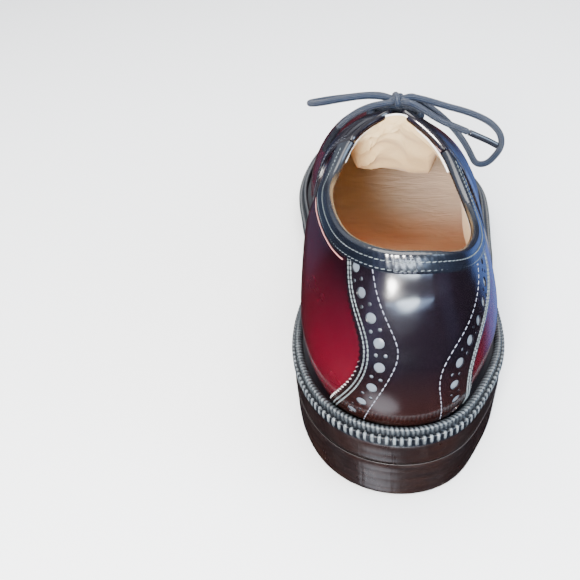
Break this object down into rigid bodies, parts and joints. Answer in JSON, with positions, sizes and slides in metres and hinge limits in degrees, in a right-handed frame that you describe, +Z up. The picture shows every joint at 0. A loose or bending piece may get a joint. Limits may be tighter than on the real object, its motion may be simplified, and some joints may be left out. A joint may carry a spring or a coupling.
{
  "type": "saddle shoe",
  "caption": "Low laced leather shoe for the right foot, with contrasting saddle and heel counter, collar binding, storm welt, leather sole and stacked heel.",
  "frame": {"origin": "on the floor, on the heel's ground face under the back of the line where the upper meets the welt", "axes": "+Z up, +Y from heel to toe, +X to the lateral side of the right foot"},
  "size_m": [0.1105, 0.2998, 0.1037],
  "materials": {
    "burgundy_leather": "high gloss, polished",
    "black_leather": "high gloss, polished",
    "lining_leather": "matt, natural",
    "welt_leather": "satin",
    "sole_leather": "polished edge",
    "waxed_lace": "waxed, satin"
  },
  "bodies": {
    "root": {"heel": "sole_leather", "outsole": "sole_leather", "welt": "welt_leather", "insole": "lining_leather", "upper": "burgundy_leather", "counter": "black_leather", "saddle_medial": "black_leather", "saddle_lateral": "black_leather", "collar_binding": "black_leather", "tongue": "black_leather", "lace_bar_1": "waxed_lace", "lace_bar_2": "waxed_lace", "lace_bar_3": "waxed_lace", "lace_bar_4": "waxed_lace", "lace_lead_medial": "waxed_lace", "lace_lead_lateral": "waxed_lace", "bow_knot": "waxed_lace", "bow_loop_medial": "waxed_lace", "bow_loop_lateral": "waxed_lace", "bow_end_medial": "waxed_lace", "bow_end_lateral": "waxed_lace"}
  },
  "joints": []
}
